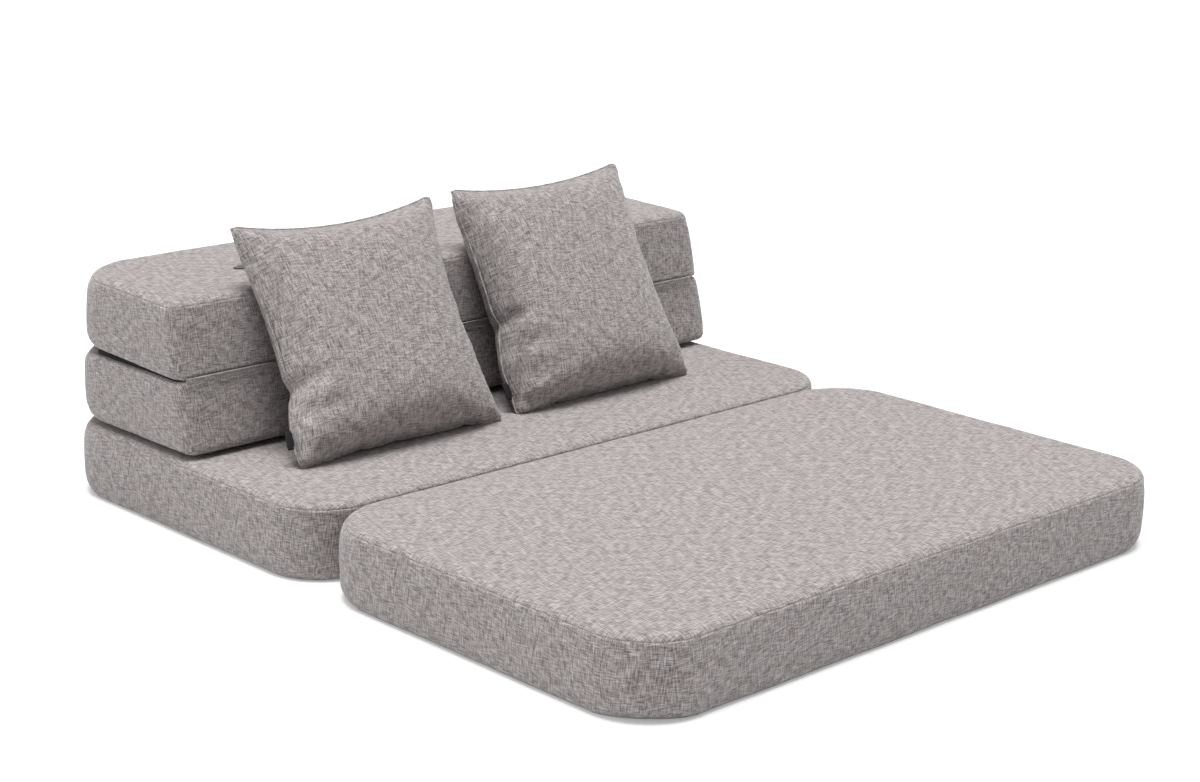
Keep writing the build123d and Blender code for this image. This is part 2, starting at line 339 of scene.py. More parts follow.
def quads(rows, count):
    """Faces between rings of points, each ring with the same count."""
    return [(row * count + i, row * count + j, (row + 1) * count + j, (row + 1) * count + i)
            for row in range(rows - 1) for i in range(count) for j in [(i + 1) % count]]


def rows_between(start, end, tight_start, tight_end):
    """Shares from 0 to 1 for mesh rows, closer together at a seam."""
    span = float(np.max(end - start))
    tight = [d / span for d in rows_by_seam]
    inner = np.linspace(0, 1, max(3, round(span / row_step)) + 1)
    shares = [0, 1]
    shares += tight if tight_start else []
    shares += [1 - t for t in tight] if tight_end else []
    low = tight[-1] if tight_start else 0
    high = 1 - tight[-1] if tight_end else 1
    room = 0.3 / len(inner)
    return sorted(set(shares + [s for s in inner if low + room < s < high - room]))


def plain(name, colour, roughness, **more):
    """A material of one colour."""
    material = bpy.data.materials.new(name)
    material.use_nodes = True
    shader = material.node_tree.nodes["Principled BSDF"]
    shader.inputs["Base Color"].default_value = linear(colour)
    shader.inputs["Roughness"].default_value = roughness
    for key, value in more.items():
        shader.inputs[key.replace("_", " ")].default_value = value
    return material


# Cold foam: cut polyurethane, dull and cream, out of sight inside the covers
foam = plain("cold_foam", "#e8e2cf", 0.95)
foam_room = 0.006
foam_rows = 9


def foam_block(section):
    """The foam inside a section's cover: one closed block, a little smaller than the cover."""
    count = len(section.points)
    full = section.lengths(0, 0)[2]
    rings = []
    for share in np.linspace(0, 1, foam_rows):
        z, inset = section.ring(share * full)
        x, y = section.lay(section.points - section.outwards * (inset + foam_room)[:, None], z)
        squeezed = foam_room + z / section_height * (section_height - 2 * foam_room)
        rings.append(np.stack([x, y, squeezed], axis=-1))
    points = np.concatenate(rings)
    faces = [tuple(range(count))[::-1], tuple(range((foam_rows - 1) * count, foam_rows * count))]
    faces += quads(foam_rows, count)
    maps = [tuple(points[v][:2]) for face in faces for v in face]
    places = section.world(*points.T)
    piece = make_piece(f"{section.name}_foam_block", places, faces, maps, foam, smooth=False)
    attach(piece, section.body)
    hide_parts(f"{section.name}_foam")


# Seam thread: spun polyester in the cloth's own grey, matt. A darker copy is painted shade in a seam's groove
thread = plain("seam_thread", "#958d8b", 0.8)
painted_shade_thread = plain("seam_thread_painted_shade", "#4d4846", 0.9)
stitch_length = 0.003
stitch_pitch = 0.0042
stitch_thickness = 0.0004

# Zip: a spiral of nylon teeth on a woven tape, both dyed grey. Drawn nylon has a low gloss. Each section has
# one sewn into the rear of its side band, closed, with its slider parked at the end.
zip_material = plain("zip_nylon", "#8a8483", 0.55)
zip_length = 0.62
zip_ends = (0.014, 0.03)
zip_slot_height = 0.008
zip_slot_room = 0.0006
zip_sink = 0.0008
zip_clear = 0.007
zip_rows = (-0.0049, -0.0041, 0, 0.0041, 0.0049)
tooth_pitch = 0.002
tooth_thickness = 0.0009
tooth_length = 0.0034
tooth_proud = 0.0004


def rod_row_nodes():
    """Geometry nodes that set short rods along a line: stitches along a seam, or teeth across a zip."""
    tree = bpy.data.node_groups.new("rod_row", "GeometryNodeTree")
    for name, kind in (("Line", "Geometry"), ("Pitch", "Float"), ("Length", "Float"), ("Thickness", "Float"),
                       ("Across", "Vector"), ("Material", "Material")):
        tree.interface.new_socket(name, in_out="INPUT", socket_type=f"NodeSocket{kind}")
    tree.interface.new_socket("Rods", in_out="OUTPUT", socket_type="NodeSocketGeometry")
    given = node(tree, "NodeGroupInput").outputs
    curve = node(tree, "GeometryNodeMeshToCurve", {}, {"Mesh": given["Line"]}).outputs[0]
    places = node(tree, "GeometryNodeResampleCurve", {"mode": "LENGTH"},
                  {"Curve": curve, "Length": given["Pitch"]}).outputs[0]
    half = node(tree, "ShaderNodeMath", {"operation": "MULTIPLY"}, {0: given["Thickness"], 1: 0.5}).outputs[0]
    rod = node(tree, "GeometryNodeMeshCylinder", {},
               {"Vertices": 6, "Radius": half, "Depth": given["Length"]}).outputs["Mesh"]
    tangent = node(tree, "GeometryNodeInputTangent").outputs[0]
    across = given["Across"]
    reach = node(tree, "ShaderNodeVectorMath", {"operation": "LENGTH"}, {0: across}).outputs["Value"]
    is_across = node(tree, "FunctionNodeCompare", {"operation": "GREATER_THAN"},
                     {0: reach, 1: 0.5}).outputs[0]
    chosen = node(tree, "GeometryNodeSwitch", {"input_type": "VECTOR"},
                  {"Switch": is_across, "False": tangent, "True": across}).outputs[0]
    turned = node(tree, "FunctionNodeAlignRotationToVector", {"axis": "Z"}, {"Vector": chosen}).outputs[0]
    rods = node(tree, "GeometryNodeInstanceOnPoints", {},
                {"Points": places, "Instance": rod, "Rotation": turned}).outputs[0]
    real = node(tree, "GeometryNodeRealizeInstances", {}, {"Geometry": rods}).outputs[0]
    painted = node(tree, "GeometryNodeSetMaterial", {}, {"Geometry": real, "Material": given["Material"]})
    node(tree, "NodeGroupOutput", {}, {"Rods": painted.outputs[0]})
    return tree


rod_row = rod_row_nodes()


def rods_along(name, places, body, values, material):
    """One mesh of short rods along a line of places, riding with a body unless it is to be blended."""
    mesh = bpy.data.meshes.new(name)
    mesh.from_pydata([tuple(p) for p in places], [(i, i + 1) for i in range(len(places) - 1)], [])
    piece = bpy.data.objects.new(name, mesh)
    bpy.context.collection.objects.link(piece)
    row = piece.modifiers.new("rods", "NODES")
    row.node_group = rod_row
    wanted = dict(values, Material=material)
    for item in rod_row.interface.items_tree:
        if item.name in wanted:
            row[item.identifier] = wanted[item.name]
    finish_modifiers(piece)
    piece.data.polygons.foreach_set("use_smooth", [True] * len(piece.data.polygons))
    if body:
        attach(piece, body)
    return piece


def sew(name, places, body, length=stitch_length, thickness=stitch_thickness, colour=thread):
    """A row of stitches."""
    values = {"Pitch": stitch_pitch, "Length": length, "Thickness": thickness, "Across": (0, 0, 0)}
    piece = rods_along(f"{name}_stitches", places, body, values, colour)
    return piece


def zip_teeth(section):
    """The coil of teeth on a section's rear face, beside the tape and slider."""
    x = np.linspace(zip_ends[0] - zip_length / 2, zip_length / 2 - zip_ends[1], 60)
    places = section.world(x, 0 * x + section.depth + tooth_proud, 0 * x + section_height / 2)
    upwards = (0, -sin(section.tilt), cos(section.tilt))
    values = {"Pitch": tooth_pitch, "Length": tooth_length, "Thickness": tooth_thickness, "Across": upwards}
    piece = rods_along(f"{section.name}_zip_teeth", places, section.body, values, zip_material)


# The tapes and sliders of these four zips are the frame's own solids
for name in ("front", "seat", "lower_back", "upper_back"):
    zip_solid = bpy.data.objects.get(f"{name}_zip")
    zip_solid.data.materials.clear()
    zip_solid.data.materials.append(zip_material)


def section_pieces(section, seed):
    """A section's cover as three pieces, with its foam, the stitches of its top seam and its zip's teeth."""
    count = len(section.points)
    nx, ny = section.cells
    turned_up = section.sleeping_up
    low_drop, high_drop = (base_seam_rise, top_seam_drop) if turned_up else (top_seam_drop, base_seam_rise)
    low_depth, high_depth = (base_seam_depth, seam_depth) if turned_up else (seam_depth, base_seam_depth)
    low_seam, high_seam, full = section.lengths(low_drop, high_drop)

    def ring_points(along):
        """A ring of cover points with the cloth's bulge, lips, tucks, ripples and zip slot."""
        z, inset = section.ring(along)
        middle = np.clip((along - low_seam) / (high_seam - low_seam), 0, 1)
        out = band_bulge * np.sin(pi * middle) ** bulge_fullness * section.open
        tuck = low_depth * np.exp(-((along - low_seam) / seam_width) ** 2)
        tuck += high_depth * np.exp(-((along - high_seam) / seam_width) ** 2)
        past_seam = along - high_seam if turned_up else low_seam - along
        hollow = (past_seam / recess_reach) ** 2
        lip = np.where(past_seam > 0, seam_lip * np.exp(-(past_seam / lip_reach) ** 2),
                       -seam_recess * hollow * np.exp(1 - hollow))
        out = out + section.seam_open * lip
        near = sum(np.exp(-((along - seam) / pucker_reach) ** 2) for seam in (high_seam, low_seam))
        places = section.points - section.outwards * inset[:, None]
        flat = section.world(*section.lay(places, z), z)
        calm = pressed_calm + (1 - pressed_calm) * section.open
        out = out - tuck + calm * ripple(flat, ripple_height, ripple_length, seed)
        out = out + calm * near * ripple(flat, pucker_height, pucker_length, seed + 1)
        at_zip = (np.abs(places[:, 0]) < zip_length / 2) & (section.outwards[:, 1] > 0.99)
        at_zip = at_zip & (np.abs(z - section_height / 2) < zip_slot_height / 2 + zip_slot_room)
        out = np.where(at_zip, -zip_sink, out) - meeting_gap * section.meeting
        high_turn = np.clip((along - (full - section.high_radii * pi / 2)) / section.high_radii, 0, pi / 2)
        low_turn = np.clip(along / section.low_radii, 0, pi / 2)
        upward = np.sin(high_turn) - np.cos(low_turn) * (along < section.low_radii * pi / 2)
        level = np.sqrt(np.clip(1 - upward ** 2, 0, 1))
        x, y = section.lay(places + section.outwards * (out * level)[:, None], z)
        return np.stack([x, y, np.maximum(z + out * upward, 0)], axis=-1)

    def strip(lengths):
        """The side band, with its map running round the section."""
        heights = [float(np.mean(length)) for length in lengths]
        maps = [(section.round_length[i + a], heights[row + b]) for row in range(len(lengths) - 1)
                for i in range(count) for a, b in ((0, 0), (1, 0), (1, 1), (0, 1))]
        return np.concatenate([ring_points(length) for length in lengths]), quads(len(lengths), count), maps

    def panel(lengths, is_high):
        """A top or base panel: rings that roll over the edge, and a grid that fills the last of them."""
        rings = [ring_points(length) for length in lengths]
        edge = rings[-1] if is_high else rings[0]
        front, side = edge[:nx + 1], edge[nx:nx + ny + 1]
        back = edge[nx + ny:2 * nx + ny + 1][::-1]
        other = np.concatenate([edge[2 * nx + ny:], edge[:1]])[::-1]
        a = np.linspace(0, 1, nx + 1)[:, None, None]
        b = np.linspace(0, 1, ny + 1)[None, :, None]
        grid = (1 - b) * front[:, None] + b * back[:, None] + (1 - a) * other[None] + a * side[None]
        grid -= ((1 - a) * (1 - b) * front[0] + a * (1 - b) * front[-1]
                 + (1 - a) * b * back[0] + a * b * back[-1])
        if is_high:
            bare = np.clip(b / section.bare_share, 0, 1)
            swell, inner = ((1 - (2 * a - 1) ** power) * np.clip(1 - (2 * bare - 1) ** power, 0, 1)
                            for power in (4, 40))
            waves = ripple(section.world(*grid.reshape(-1, 3).T), ripple_height, ripple_length, seed + 2)
            crown = section.crown if turned_up else 0
            grid[..., 2] += (crown * swell + waves.reshape(nx + 1, ny + 1, 1) * inner)[..., 0]
        ring = np.arange(count) + ((len(rings) - 1) * count if is_high else 0)
        number = np.zeros((nx + 1, ny + 1), dtype=int)
        number[1:-1, 1:-1] = len(rings) * count + np.arange((nx - 1) * (ny - 1)).reshape(nx - 1, ny - 1)
        number[:-1, 0], number[-1, :-1] = ring[:nx], ring[nx:nx + ny]
        number[:0:-1, -1], number[0, :0:-1] = ring[nx + ny:2 * nx + ny], ring[2 * nx + ny:]
        squares = np.stack([number[:-1, :-1], number[1:, :-1], number[1:, 1:], number[:-1, 1:]], axis=-1)
        squares = squares.reshape(-1, 4)
        faces = quads(len(rings), count) + (squares if is_high else squares[:, ::-1]).tolist()
        inside = grid[1:-1, 1:-1].reshape(-1, 3)
        gone = [full - length if is_high else length for length in lengths]
        plan = [edge[:, :2] + section.outwards * length[:, None] for length in gone] + [inside[:, :2]]
        return np.concatenate(rings + [inside]), faces, np.concatenate(plan)[np.ravel(faces)]

    def rows(shares, start, end):
        return [start + share * (end - start) for share in shares]

    zero = np.zeros(count)
    low_rows = rows(rows_between(zero, low_seam, False, True), zero, low_seam)
    high_rows = rows(rows_between(high_seam, full, True, False), high_seam, full)
    span = float(np.max(high_seam - low_seam))
    middle = (section_height / 2 - low_drop) / (section_height - low_drop - high_drop)
    shares = [t for t in rows_between(low_seam, high_seam, True, True) if abs(t - middle) * span > zip_clear]
    band_rows = rows(sorted(shares + [middle + d / span for d in zip_rows]), low_seam, high_seam)
    low_name, high_name = ("base_panel", "top_panel") if turned_up else ("top_panel", "base_panel")
    made = {}
    for part, (points, faces, maps) in (
        (low_name, panel(low_rows, False)),
        ("side_band", strip(band_rows)),
        (high_name, panel(high_rows, True)),
    ):
        piece = make_piece(f"{section.name}_cover_{part}", section.world(*points.T), faces, maps, cover_cloth)
        # The flat of the base takes the black cloth: painted shade for the slit between the folded bases
        if part == "base_panel":
            piece.data.materials.append(black_base_as_slit_shade)
            slit_shade_of_face = [0] * (len(faces) - nx * ny) + [1] * (nx * ny)
            piece.data.polygons.foreach_set("material_index", slit_shade_of_face)
        thicken(piece, fabric_thickness)
        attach(piece, section.body)
        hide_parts(f"{section.name}_{part}")
        made[part] = piece
    foam_block(section)
    line = section.world(*ring_points(high_seam if turned_up else low_seam).T)
    first_hidden = int(np.argmin(section.seam_shown))
    shown = (np.flatnonzero(np.roll(section.seam_shown, -first_hidden)) + first_hidden) % count
    for number, run in enumerate(np.split(shown, np.flatnonzero(np.abs(np.diff(shown)) > 1) + 1)):
        if len(run) > 2:
            sew(f"{section.name}_top_seam_{number + 1}", line[run], section.body)
    zip_teeth(section)
    return made


front_low, front_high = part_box("front_side_band")
front = Section("front", "front_section", (0, front_low[1], 0), 0, front_high[1] - front_low[1], 0,
                corner_radius, base_edge_radius, sleeping_edge_radius, True, base_softness=0.012,
                front_base_softness=0.014, meets=(0, 1), pressed=(0, 1))
section_pieces(front, 1)

# Seat section: the same foam block and cover. Its front edge is pressed against the front section and its
# rear edge carries the fabric hinge of the back.
seat_low, seat_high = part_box("seat_side_band")
seat = Section("seat", "seat_section", (0, seat_low[1], 0), 0, seat_high[1] - seat_low[1], 0,
               corner_radius, base_edge_radius, sleeping_edge_radius, True, base_softness=0.02,
               meets=(1, 0), bare_share=0.45)
section_pieces(seat, 11)

# Lower back section: half as deep, turned over onto the rear of the seat, so its sleeping face is below. Its
# front face is cut at a slant, for a back to lean on.
joints = {joint["name"]: joint for joint in frame["record"]["behaviour"]["joints"]}
fold_gap = 0.0025
stack_clearance = 0.0006
lower_back_depth = 0.353
face_set_back = 0.029
front_corner_radius = 0.022
folded_edge_radius = 0.008
rear_fold = joints["back_fold"]["pos_m"]
back_shift = 0.007
slit = 0.0012
lower_back_front_y = rear_fold[1] - fold_gap / 2 - lower_back_depth
lower_back = Section("lower_back", "lower_back_section",
                     (back_shift, lower_back_front_y, rear_fold[2] + stack_clearance / 2), 0,
                     lower_back_depth, face_set_back, front_corner_radius, sleeping_edge_radius,
                     folded_edge_radius, False, base_softness=0.018, low_lift=0.005, high_drop=slit)
section_pieces(lower_back, 21)

# Upper back section: the same make, folded forward onto the lower one. Its front face leans on in line with
# the lower one's, and its springy fold lifts it a little at the rear.
face_relief = 0.0005
upper_back_depth = 0.318
sharp_edge_radius = 0.0052
tilt = radians(1.88)
top_fold = joints["top_fold"]["pos_m"]
upper_origin = (
    back_shift,
    top_fold[1] + face_relief * cos(tilt) - stack_clearance / 2 * sin(tilt),
    top_fold[2] + face_relief * sin(tilt) + stack_clearance / 2 * cos(tilt),
)
upper_back = Section("upper_back", "upper_back_section", upper_origin, tilt, upper_back_depth, face_set_back,
                     front_corner_radius, sharp_edge_radius, sleeping_edge_radius, True, base_softness=0.016,
                     pressed=(1, 0), low_lift=slit, high_drop=0.0025, taper=0.0125, crown=0.001,
                     front_seam_shown=True)
upper_back_top = section_pieces(upper_back, 31)["top_panel"]

# Fabric hinge between the two back sections: a flat welt of cloth sewn along both front edges. Two more
# fabric hinges, on the floor and behind the seat, are out of sight.
welt_half_length = 0.538
welt_wrap = 0.005
welt_proud = 0.0012
welt_thickness = 0.0016
stitch_proud = 0.0003
strip_half_length = 0.462
strip_low = 0.0006
floor_profile = ((-0.0055, strip_low), (0.0055, strip_low), (0.0035, 0.0024), (0, 0.0032), (-0.0035, 0.0024))
roll_wrap = radians(105)
roll_radii = (0.0065, 0.0075)
roll_inset = 0.0008
roll_thickness = 0.0014


def face_outwards(piece):
    """Turn all faces of a closed piece outwards."""
    mesh = bmesh.new()
    mesh.from_mesh(piece.data)
    bmesh.ops.recalc_face_normals(mesh, faces=mesh.faces)
    mesh.to_mesh(piece.data)
    mesh.free()
    return piece


def band(name, profile, half_length):
    """A closed band of cover cloth with a cross-section in the y-z plane, running along the sofa's width."""
    count, steps, cell = len(profile), 90, 0.004
    along = [half_length * (2 * i / steps - 1) for i in range(steps + 1)]
    points = [(x, y, z) for x in along for y, z in profile]
    faces = quads(steps + 1, count)
    maps = [(along[i + a], cell * (k + b)) for i in range(steps) for k in range(count)
            for a, b in ((0, 0), (0, 1), (1, 1), (1, 0))]
    faces += [tuple(range(count))[::-1], tuple(range(steps * count, (steps + 1) * count))]
    maps += [points[v][1:] for face in faces[-2:] for v in face]
    return face_outwards(make_piece(name, points, faces, maps, cover_cloth))


fold_y, fold_z = top_fold[1], top_fold[2]
fall = face_set_back / section_height
welt_front = []
for share in np.linspace(-1, 1, 9):
    y = fold_y - fold_gap / 2 - fall * abs(share) * welt_wrap - welt_thickness / 2
    welt_front.append((y - welt_proud * cos(share * pi / 2) ** 0.5, fold_z + share * welt_wrap))
welt_back = [(y + welt_thickness, z) for y, z in welt_front[::-1]]
welt = band("back_hinge_cloth", welt_front + welt_back, welt_half_length)
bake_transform(welt)
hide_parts("back_hinge_welt")

floor_fold, back_fold = joints["front_fold"]["pos_m"], joints["back_fold"]["pos_m"]
floor_hinge = band("front_hinge_cloth", [(floor_fold[1] + y, z) for y, z in floor_profile], strip_half_length)
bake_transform(floor_hinge)
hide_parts("front_hinge_strip")
turns = np.linspace(-1, 1, 13) * roll_wrap
rear_loop = [(back_fold[1] - roll_inset + roll_radii[0] * cos(turn), back_fold[2] + roll_radii[1] * sin(turn))
             for turn in turns]
rear_inner = [(y - roll_thickness * cos(turn), z - roll_thickness * sin(turn))
              for (y, z), turn in zip(rear_loop, turns)]
rear_hinge = band("rear_hinge_cloth", rear_loop + rear_inner[::-1], strip_half_length)
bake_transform(rear_hinge)
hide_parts("rear_hinge_strip")
welt_x = np.linspace(-welt_half_length, welt_half_length, 200)
for name, (y, z) in (("low", welt_front[1]), ("high", welt_front[-2])):
    line = np.stack([welt_x, 0 * welt_x + y - stitch_proud, 0 * welt_x + z], axis=-1)
    row = sew(f"back_hinge_{name}", line, None)
    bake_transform(row)

# Webbing strap lying on the upper back section, mostly behind the left cushion: a ribbon woven from dull grey
# polyester, with a tapered tip, sewn down at its hidden end with a box of stitches.
strap_width = 0.024
strap_thickness = 0.0016
strap_rise = 0.0021
strap_low, strap_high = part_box("back_strap")
strap_slip = 0.008
strap_steps, strap_sides = 75, 6
tip_share = 0.28
tip_length = 0.018
webbing = woven_cloth("grey_polyester_webbing", "#77757a", "#5c5a5f", "#3e3d41", "#57555a")
webbing_scale = 0.4


def height_on_back(x, y):
    """Height of the upper back section's top panel at a place."""
    to_piece = upper_back_top.matrix_world.inverted()
    hit, place, _, _ = upper_back_top.ray_cast(to_piece @ Vector((x, y, 1)), Vector((0, 0, -1)))
    return (upper_back_top.matrix_world @ place).z


strap_points, strap_faces, strap_maps = [], [], []
across_middle = (strap_low[1] + strap_high[1]) / 2
bpy.context.view_layer.update()
for i in range(strap_steps + 1):
    from_tip = i / strap_steps * (strap_high[0] - strap_low[0])
    x = strap_low[0] - strap_slip + from_tip
    half = strap_width / 2 * min(1, tip_share + from_tip / tip_length * (1 - tip_share))
    for k in range(strap_sides + 1):
        y = across_middle + half * (2 * k / strap_sides - 1)
        strap_points.append((x, y, height_on_back(x, y) + strap_rise))
for i in range(strap_steps):
    for k in range(strap_sides):
        corner = i * (strap_sides + 1) + k
        face = (corner, corner + strap_sides + 1, corner + strap_sides + 2, corner + 1)
        strap_faces.append(face)
        strap_maps += [(webbing_scale * strap_points[v][0], webbing_scale * strap_points[v][1]) for v in face]
strap = make_piece("back_strap_webbing", strap_points, strap_faces, strap_maps, webbing)
thicken(strap, strap_thickness)
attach(strap, "upper_back_section")
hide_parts("back_strap")
box_from_end, box_half_width = (0.022, 0.004), 0.009
x0, x1 = (strap_high[0] - strap_slip - from_end for from_end in box_from_end)
y0, y1 = across_middle - box_half_width, across_middle + box_half_width
box_path = [(x0, y0), (x1, y0), (x1, y1), (x0, y1), (x0, y0), (x1, y1)]
box_line = []
for (ax, ay), (bx, by) in zip(box_path, box_path[1:]):
    for t in np.linspace(0, 1, 8, endpoint=False):
        x, y = ax + t * (bx - ax), ay + t * (by - ay)
        box_line.append((x, y, height_on_back(x, y) + strap_rise + stitch_thickness / 2))
sew("back_strap", box_line, "upper_back_section")

# Two throw cushions: two panels of the same cloth sewn edge to edge, filled with fibre. Each is blown up from
# a flat pillowcase by a cloth simulation, then leaned on the back. Its slack lower left side kinks.
cushion_size = 0.388
cushion_cells = 56
cushion_frames = 17
front_crown = 0.064
back_crown = 0.034
side_bow = {"left": {"left": 0.023, "right": 0.029, "low": 0.010, "high": 0.024},
            "right": {"left": 0.014, "right": 0.026, "low": 0.010, "high": 0.019}}
right_dents = {"left": (0.031, -0.062, -0.136), "right": (-0.043, 0.06)}
right_slack = 0.34
kink_depth = {"left": 0.0125, "right": 0.009}
kink_height = {"left": -0.072, "right": -0.042}
corner_fold = {"left": 0.0035, "right": 0.0085}
corner_shift = {"left": ((-0.0047, 0.0034), (0.0047, 0.0023), (-0.0099, 0.0052), (-0.0023, 0.0045)),
                "right": ((-0.0075, -0.0018), (-0.0037, 0.0007), (0.0056, 0.0046), (-0.0042, 0.0074))}
corner_growth = 0.0022
tip_radius = 0.015
cushion_above_seat = 0.0005
ahead_of_back = {"left": 0.135, "right": 0.127}
cushion_middle_x = {"left": -0.249, "right": 0.189}
cushion_lean = {"left": radians(33.6), "right": radians(32.8)}
cushion_slump = {"left": radians(5.4), "right": radians(3.6)}


def pillowcase(cells):
    """Points, faces and rim of two flat layers, one metre from the middle to each side, joined at the rim."""
    line = np.linspace(-1, 1, cells + 1)
    points = [(x, y, 0) for y in line for x in line] + [(x, y, -0.01) for y in line[1:-1] for x in line[1:-1]]
    number = np.arange((cells + 1) ** 2).reshape(cells + 1, cells + 1)
    loop = [*number[0, :-1], *number[:-1, -1], *number[-1, :0:-1], *number[:0:-1, 0]]
    behind = number.copy()
    behind[1:-1, 1:-1] = (cells + 1) ** 2 + np.arange((cells - 1) ** 2).reshape(cells - 1, cells - 1)
    front, back = number.tolist(), behind.tolist()
    faces = []
    for j in range(cells):
        for i in range(cells):
            faces.append((front[j][i], front[j][i + 1], front[j + 1][i + 1], front[j + 1][i]))
            faces.append((back[j][i], back[j + 1][i], back[j + 1][i + 1], back[j][i + 1]))
    return np.array(points, dtype=float), faces, loop


def blow_up(points, faces, seed):
    """The pillowcase filled by air pressure for a short while, so that the cloth wrinkles along its seams."""
    shift = Vector((seed * 3.1, 0, 0))
    inner = np.clip(8 * (1 - np.abs(points[:, 0])) * (1 - np.abs(points[:, 1])), 0, 1)
    points = points.copy()
    points[:, 2] += inner * [0.02 * noise.noise(Vector((p[0] * 3, p[1] * 3, 0)) + shift) for p in points]
    mesh = bpy.data.meshes.new("pillowcase")
    mesh.from_pydata([tuple(p) for p in points], [], faces)
    case = bpy.data.objects.new("pillowcase", mesh)
    bpy.context.collection.objects.link(case)
    modifier = case.modifiers.new("cloth", "CLOTH")
    modifier.point_cache.frame_end = cushion_frames + 1
    cloth = modifier.settings
    cloth.quality = 5
    cloth.mass = 0.15
    cloth.air_damping = 6
    cloth.tension_stiffness = cloth.compression_stiffness = 15
    cloth.tension_damping = cloth.compression_damping = 15
    cloth.shear_stiffness, cloth.shear_damping = 5, 10
    cloth.bending_stiffness = 0.3
    cloth.use_pressure = True
    cloth.uniform_pressure_force = 1.8
    cloth.effector_weights.gravity = 0
    for frame_number in range(1, cushion_frames + 1):
        bpy.context.scene.frame_set(frame_number)
    filled = case.evaluated_get(bpy.context.evaluated_depsgraph_get())
    result = np.array([v.co for v in filled.data.vertices])
    bpy.data.objects.remove(case)
    bpy.context.scene.frame_set(1)
    return result


def bump_at(u, v, place, size):
    """A soft round bump around a place on a cushion."""
    return np.exp(-((u - place[0]) / size[0]) ** 2 - ((v - place[1]) / size[1]) ** 2)


def rise(distance, reach):
    """From 0 at an edge to 1 well away from it."""
    return 1 - np.exp(-distance / reach)


def calm_edge(flat, across, height, axis, sign, curve, share):
    """Take the wrinkles out of one edge: shift each row of cloth so that its rim comes to a smooth curve."""
    row = np.rint((flat[:, 1 - axis] + 1) / 2 * cushion_cells).astype(int)
    rim = np.flatnonzero(flat[:, axis] == sign)
    shift, drop = np.zeros(cushion_cells + 1), np.zeros(cushion_cells + 1)
    shift[row[rim]], drop[row[rim]] = (curve - across)[rim], -height[rim]
    near = share * np.exp(-(1 - sign * flat[:, axis]) / 0.12)
    return across + near * shift[row], height + near * drop[row]


def running_mean(grid, axis):
    """Each value of a grid replaced by the mean of the nine values around it along one direction."""
    padded = np.pad(grid, [(4, 4) if k == axis else (0, 0) for k in (0, 1)], mode="edge")
    size = grid.shape[axis]
    return sum(np.take(padded, range(k, k + size), axis=axis) for k in range(9)) / 9


